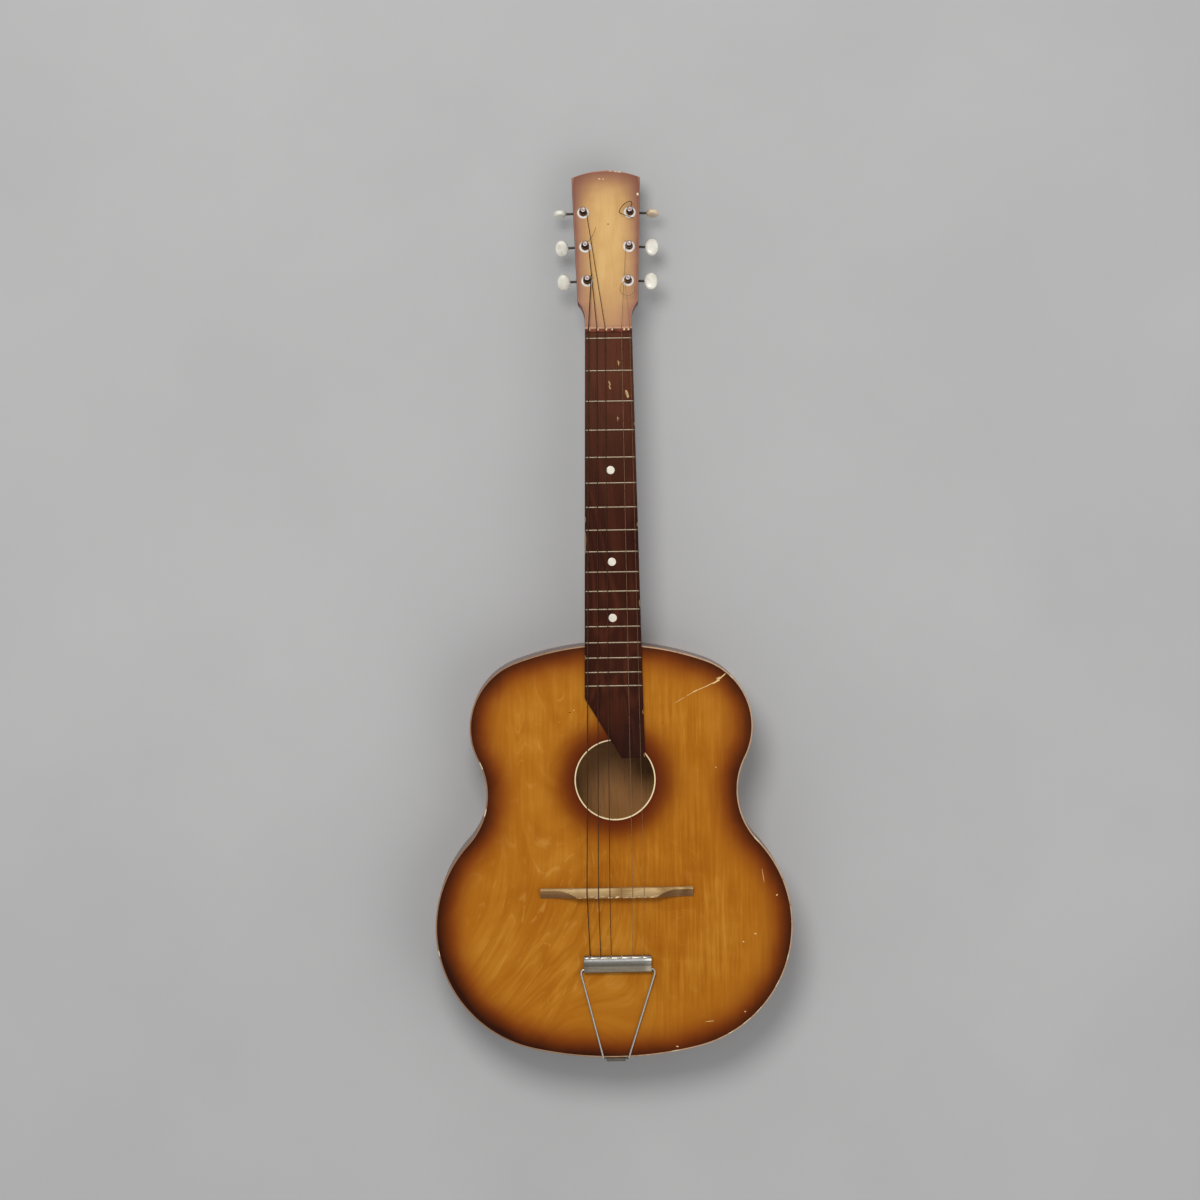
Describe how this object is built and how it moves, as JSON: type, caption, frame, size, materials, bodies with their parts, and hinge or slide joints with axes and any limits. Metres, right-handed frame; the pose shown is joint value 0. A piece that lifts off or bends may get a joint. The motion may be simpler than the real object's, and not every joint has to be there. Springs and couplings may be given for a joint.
{
  "type": "broken acoustic guitar",
  "caption": "Small sunburst acoustic guitar with a trapeze tailpiece, a slipped floating bridge, chipped nut and bindings, and a missing string; machine heads turn.",
  "frame": {"origin": "centre of the flat back face, on the body's centreline at mid body length", "axes": "+Z out of the soundboard, +Y towards the head, +X towards the treble side; the guitar lies on its back"},
  "size_m": [0.3606, 0.9024, 0.1001],
  "materials": {
    "sunburst_wood": "lacquered sunburst plywood, scratched",
    "brown_wood": "dark red-brown lacquered plywood",
    "raw_wood": "bare spruce and beech, unfinished",
    "cream_binding": "aged cream plastic strip",
    "neck_wood": "lacquered, sunburst at the head's edges",
    "stained_board": "red-brown stain, worn and chipped",
    "fret_wire": "dull nickel silver",
    "dot_inlay": "white plastic",
    "bridge_wood": "bare worn beech",
    "plated_steel": "nickel plate, hazed",
    "ferrule_metal": "bright nickel plate",
    "dark_steel": "oxidised steel",
    "gear_brass": "dull brass",
    "button_plastic": "cream moulded plastic",
    "wound_string": "tarnished bronze winding",
    "plain_string": "tarnished plain steel"
  },
  "bodies": {
    "root": {"soundboard": "sunburst_wood", "back": "brown_wood", "side_bass": "brown_wood", "side_treble": "brown_wood", "neck_block": "raw_wood", "tail_block": "raw_wood", "linings": "raw_wood", "top_braces": "raw_wood", "back_braces": "raw_wood", "top_binding": "cream_binding", "back_binding": "cream_binding", "soundhole_ring": "cream_binding", "neck": "neck_wood", "fretboard": "stained_board", "frets": "fret_wire", "position_dots": "dot_inlay", "nut": "stained_board", "bridge": "bridge_wood", "tailpiece_bar": "plated_steel", "tailpiece_wire": "plated_steel", "tail_bracket": "plated_steel", "tuner_plate_bass": "plated_steel", "tuner_plate_treble": "plated_steel", "wood_screws": "plated_steel", "ferrules": "ferrule_metal", "string_low_e": "wound_string", "string_a": "wound_string", "string_d": "wound_string", "string_b": "plain_string", "string_high_e": "plain_string"},
    "knob_low_e": {"worm_low_e": "dark_steel", "button_low_e": "button_plastic"},
    "spindle_low_e": {"post_low_e": "dark_steel", "gear_low_e": "gear_brass", "winding_low_e": "wound_string"},
    "knob_a": {"worm_a": "dark_steel", "button_a": "button_plastic"},
    "spindle_a": {"post_a": "dark_steel", "gear_a": "gear_brass", "winding_a": "wound_string"},
    "knob_d": {"worm_d": "dark_steel", "button_d": "button_plastic"},
    "spindle_d": {"post_d": "dark_steel", "gear_d": "gear_brass", "winding_d": "wound_string"},
    "knob_g": {"worm_g": "dark_steel", "button_g": "button_plastic"},
    "spindle_g": {"post_g": "dark_steel", "gear_g": "gear_brass", "winding_g": "plain_string"},
    "knob_b": {"worm_b": "dark_steel", "button_b": "button_plastic"},
    "spindle_b": {"post_b": "dark_steel", "gear_b": "gear_brass", "winding_b": "plain_string"},
    "knob_high_e": {"worm_high_e": "dark_steel", "button_high_e": "button_plastic"},
    "spindle_high_e": {"post_high_e": "dark_steel", "gear_high_e": "gear_brass", "winding_high_e": "plain_string"}
  },
  "joints": [
    {"name": "knob_low_e_turn", "type": "hinge", "parent": "root", "child": "knob_low_e", "pos_m": [-0.01784, 0.57569, 0.05423], "axis": [-0.9991, -0.0404, 0.0108], "continuous": true},
    {"name": "post_low_e_turn", "type": "hinge", "parent": "root", "child": "spindle_low_e", "pos_m": [-0.01759, 0.57518, 0.07549], "axis": [0, 0.2588, 0.9659], "continuous": true},
    {"name": "knob_a_turn", "type": "hinge", "parent": "root", "child": "knob_a", "pos_m": [-0.01935, 0.61044, 0.04492], "axis": [-0.9991, -0.0404, 0.0108], "continuous": true},
    {"name": "post_a_turn", "type": "hinge", "parent": "root", "child": "spindle_a", "pos_m": [-0.0191, 0.60993, 0.06618], "axis": [0, 0.2588, 0.9659], "continuous": true},
    {"name": "knob_d_turn", "type": "hinge", "parent": "root", "child": "knob_d", "pos_m": [-0.02086, 0.64518, 0.03562], "axis": [-0.9991, -0.0404, 0.0108], "continuous": true},
    {"name": "post_d_turn", "type": "hinge", "parent": "root", "child": "spindle_d", "pos_m": [-0.02061, 0.64467, 0.05687], "axis": [0, 0.2588, 0.9659], "continuous": true},
    {"name": "knob_g_turn", "type": "hinge", "parent": "root", "child": "knob_g", "pos_m": [0.02686, 0.64518, 0.03562], "axis": [0.9991, -0.0404, 0.0108], "continuous": true},
    {"name": "post_g_turn", "type": "hinge", "parent": "root", "child": "spindle_g", "pos_m": [0.02661, 0.64467, 0.05687], "axis": [0, 0.2588, 0.9659], "continuous": true},
    {"name": "knob_b_turn", "type": "hinge", "parent": "root", "child": "knob_b", "pos_m": [0.02535, 0.61044, 0.04492], "axis": [0.9991, -0.0404, 0.0108], "continuous": true},
    {"name": "post_b_turn", "type": "hinge", "parent": "root", "child": "spindle_b", "pos_m": [0.0251, 0.60993, 0.06618], "axis": [0, 0.2588, 0.9659], "continuous": true},
    {"name": "knob_high_e_turn", "type": "hinge", "parent": "root", "child": "knob_high_e", "pos_m": [0.02384, 0.57569, 0.05423], "axis": [0.9991, -0.0404, 0.0108], "continuous": true},
    {"name": "post_high_e_turn", "type": "hinge", "parent": "root", "child": "spindle_high_e", "pos_m": [0.02359, 0.57518, 0.07549], "axis": [0, 0.2588, 0.9659], "continuous": true}
  ],
  "couplings": [
    {"joint": "post_low_e_turn", "follows": "knob_low_e_turn", "ratio": 0.071429},
    {"joint": "post_a_turn", "follows": "knob_a_turn", "ratio": 0.071429},
    {"joint": "post_d_turn", "follows": "knob_d_turn", "ratio": 0.071429},
    {"joint": "post_g_turn", "follows": "knob_g_turn", "ratio": 0.071429},
    {"joint": "post_b_turn", "follows": "knob_b_turn", "ratio": 0.071429},
    {"joint": "post_high_e_turn", "follows": "knob_high_e_turn", "ratio": 0.071429}
  ]
}
